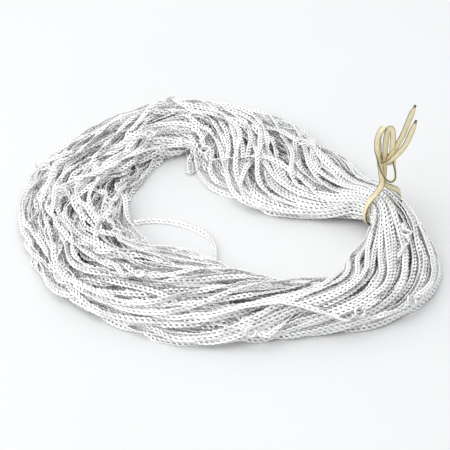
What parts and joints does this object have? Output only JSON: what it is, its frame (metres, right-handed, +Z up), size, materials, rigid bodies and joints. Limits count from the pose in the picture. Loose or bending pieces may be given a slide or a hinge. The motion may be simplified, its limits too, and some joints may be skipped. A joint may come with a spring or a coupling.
{
  "type": "hank of curb chain",
  "caption": "Ring-shaped hank of silver-coloured curb chains, each closed by a spring-ring clasp, held together by a knotted tan cord.",
  "frame": {"origin": "under the middle of the ring, on the surface that the hank lies on", "axes": "+Z up, +X towards the tied end, +Y towards the back"},
  "size_m": [0.2106, 0.2238, 0.0647],
  "materials": {
    "chain": "polished silver-coloured plating",
    "clasp": "bright silver-coloured plating",
    "spring": "drawn spring wire",
    "tie_cord": "waxed twisted cord"
  },
  "bodies": {
    "hank": {"chain_01": "chain", "chain_02": "chain", "chain_03": "chain", "chain_04": "chain", "chain_05": "chain", "chain_06": "chain", "chain_07": "chain", "chain_08": "chain", "chain_09": "chain", "chain_10": "chain", "chain_11": "chain", "chain_12": "chain", "clasp_case_01": "clasp", "clasp_case_02": "clasp", "clasp_case_03": "clasp", "clasp_case_04": "clasp", "clasp_case_05": "clasp", "clasp_case_06": "clasp", "clasp_case_07": "clasp", "clasp_case_08": "clasp", "clasp_case_09": "clasp", "clasp_case_10": "clasp", "clasp_case_11": "clasp", "clasp_case_12": "clasp", "jump_ring_01": "clasp", "jump_ring_02": "clasp", "jump_ring_03": "clasp", "jump_ring_04": "clasp", "jump_ring_05": "clasp", "jump_ring_06": "clasp", "jump_ring_07": "clasp", "jump_ring_08": "clasp", "jump_ring_09": "clasp", "jump_ring_10": "clasp", "jump_ring_11": "clasp", "jump_ring_12": "clasp", "clasp_springs": "spring", "loose_bight": "chain", "tie_wrap": "tie_cord", "tie_knot": "tie_cord", "tie_bow_knot": "tie_cord", "tie_outer_loop": "tie_cord", "tie_inner_loop": "tie_cord", "tie_low_loop": "tie_cord", "tie_long_tail": "tie_cord", "tie_short_tail": "tie_cord"},
    "trigger_01": {"clasp_trigger_01": "clasp"},
    "trigger_02": {"clasp_trigger_02": "clasp"},
    "trigger_03": {"clasp_trigger_03": "clasp"},
    "trigger_04": {"clasp_trigger_04": "clasp"},
    "trigger_05": {"clasp_trigger_05": "clasp"},
    "trigger_06": {"clasp_trigger_06": "clasp"},
    "trigger_07": {"clasp_trigger_07": "clasp"},
    "trigger_08": {"clasp_trigger_08": "clasp"},
    "trigger_09": {"clasp_trigger_09": "clasp"},
    "trigger_10": {"clasp_trigger_10": "clasp"},
    "trigger_11": {"clasp_trigger_11": "clasp"},
    "trigger_12": {"clasp_trigger_12": "clasp"}
  },
  "joints": [
    {"name": "trigger_01_open", "type": "hinge", "parent": "hank", "child": "trigger_01", "pos_m": [0.06163, -0.09918, 0.01208], "axis": [0.2551, -0.6389, 0.7258], "range_deg": [0, 52]},
    {"name": "trigger_02_open", "type": "hinge", "parent": "hank", "child": "trigger_02", "pos_m": [0.01111, -0.11054, 0.00911], "axis": [-0.0967, -0.8449, 0.5261], "range_deg": [0, 52]},
    {"name": "trigger_03_open", "type": "hinge", "parent": "hank", "child": "trigger_03", "pos_m": [0.08742, -0.0402, 0.01713], "axis": [0, 0, 1], "range_deg": [0, 52]},
    {"name": "trigger_04_open", "type": "hinge", "parent": "hank", "child": "trigger_04", "pos_m": [-0.04049, -0.07844, 0.01905], "axis": [0, 0, 1], "range_deg": [0, 52]},
    {"name": "trigger_05_open", "type": "hinge", "parent": "hank", "child": "trigger_05", "pos_m": [-0.05364, -0.04041, 0.01762], "axis": [0.1526, 0.1017, 0.983], "range_deg": [0, 52]},
    {"name": "trigger_06_open", "type": "hinge", "parent": "hank", "child": "trigger_06", "pos_m": [-0.05944, -0.00542, 0.01334], "axis": [0.2804, 0.0302, 0.9594], "range_deg": [0, 52]},
    {"name": "trigger_07_open", "type": "hinge", "parent": "hank", "child": "trigger_07", "pos_m": [-0.09457, 0.02839, 0.01282], "axis": [-0.316, 0.0776, 0.9456], "range_deg": [0, 52]},
    {"name": "trigger_08_open", "type": "hinge", "parent": "hank", "child": "trigger_08", "pos_m": [-0.04089, 0.05836, 0.01533], "axis": [0.1705, -0.1754, 0.9696], "range_deg": [0, 52]},
    {"name": "trigger_09_open", "type": "hinge", "parent": "hank", "child": "trigger_09", "pos_m": [-0.03566, 0.09134, 0.0166], "axis": [-0.0775, 0.1876, 0.9792], "range_deg": [0, 52]},
    {"name": "trigger_10_open", "type": "hinge", "parent": "hank", "child": "trigger_10", "pos_m": [-0.01145, 0.04739, 0.01226], "axis": [-0.2748, -0.2616, 0.9252], "range_deg": [0, 52]},
    {"name": "trigger_11_open", "type": "hinge", "parent": "hank", "child": "trigger_11", "pos_m": [0.04052, 0.05023, 0.01518], "axis": [0.0048, 0.0035, 1], "range_deg": [0, 52]},
    {"name": "trigger_12_open", "type": "hinge", "parent": "hank", "child": "trigger_12", "pos_m": [0.0866, -0.08747, 0.01021], "axis": [0.5203, -0.4991, 0.6929], "range_deg": [0, 52]}
  ]
}
